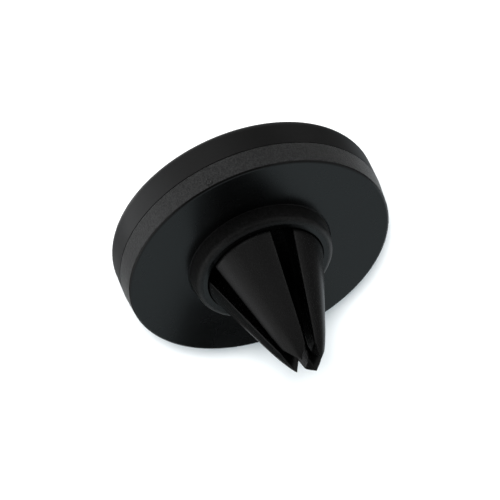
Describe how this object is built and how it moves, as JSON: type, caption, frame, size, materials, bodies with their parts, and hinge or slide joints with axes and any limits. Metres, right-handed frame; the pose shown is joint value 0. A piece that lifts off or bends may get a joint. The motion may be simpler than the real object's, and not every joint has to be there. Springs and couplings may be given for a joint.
{
  "type": "magnetic air vent phone mount",
  "caption": "Round magnetic phone mount with a collared, tapered clip of springy fingers parted by cross slots that grip the blade of a car's air vent.",
  "frame": {"origin": "centre of the phone-side face of the pad, on the axis of the disc and clip, at the lowest point of the mount as it stands on that face", "axes": "+Z along the axis from the phone face to the clip's tip, +Y along the wide blade slot, +X along the narrow blade slot"},
  "size_m": [0.041, 0.041, 0.0312],
  "materials": {
    "pad_rubber": "matte black silicone",
    "adhesive_film": "milky double-sided film",
    "cap_plastic": "smooth satin black",
    "shell_plastic": "fine spark-grained black with a smooth satin rear face",
    "carrier_plastic": "plain moulded dark grey",
    "clip_plastic": "smooth semi-gloss black",
    "magnet_nickel": "nickel-plated neodymium",
    "yoke_steel": "zinc-plated pressed steel",
    "screw_steel": "bright zinc-plated steel",
    "spring_steel": "blued spring steel"
  },
  "bodies": {
    "housing": {"face_pad": "pad_rubber", "pad_film": "adhesive_film", "front_cap": "cap_plastic", "rear_shell": "shell_plastic", "magnet_carrier": "carrier_plastic", "yoke_plate": "yoke_steel", "magnet_1": "magnet_nickel", "magnet_2": "magnet_nickel", "magnet_3": "magnet_nickel", "magnet_4": "magnet_nickel", "cap_screw_1": "screw_steel", "cap_screw_2": "screw_steel", "cap_screw_3": "screw_steel", "cap_screw_4": "screw_steel"},
    "clip": {"clip_hub": "clip_plastic", "swivel_screw": "screw_steel", "swivel_washer": "screw_steel", "wave_washer": "spring_steel"},
    "finger_1": {"clip_finger_1": "clip_plastic"},
    "finger_2": {"clip_finger_2": "clip_plastic"},
    "finger_3": {"clip_finger_3": "clip_plastic"},
    "finger_4": {"clip_finger_4": "clip_plastic"}
  },
  "joints": [
    {"name": "clip_swivel", "type": "hinge", "parent": "housing", "child": "clip", "pos_m": [0, 0, 0.00795], "axis": [0, 0, 1], "continuous": true},
    {"name": "finger_1_flex", "type": "hinge", "parent": "clip", "child": "finger_1", "pos_m": [0.00566, -0.00566, 0.0108], "axis": [0.7071, 0.7071, 0], "range_deg": [-1, 4.5], "stiffness_Nm_per_rad": 0.8},
    {"name": "finger_2_flex", "type": "hinge", "parent": "clip", "child": "finger_2", "pos_m": [0.00566, 0.00566, 0.0108], "axis": [-0.7071, 0.7071, 0], "range_deg": [-1, 4.5], "stiffness_Nm_per_rad": 0.8},
    {"name": "finger_3_flex", "type": "hinge", "parent": "clip", "child": "finger_3", "pos_m": [-0.00566, 0.00566, 0.0108], "axis": [-0.7071, -0.7071, 0], "range_deg": [-1, 4.5], "stiffness_Nm_per_rad": 0.8},
    {"name": "finger_4_flex", "type": "hinge", "parent": "clip", "child": "finger_4", "pos_m": [-0.00566, -0.00566, 0.0108], "axis": [0.7071, -0.7071, 0], "range_deg": [-1, 4.5], "stiffness_Nm_per_rad": 0.8}
  ]
}
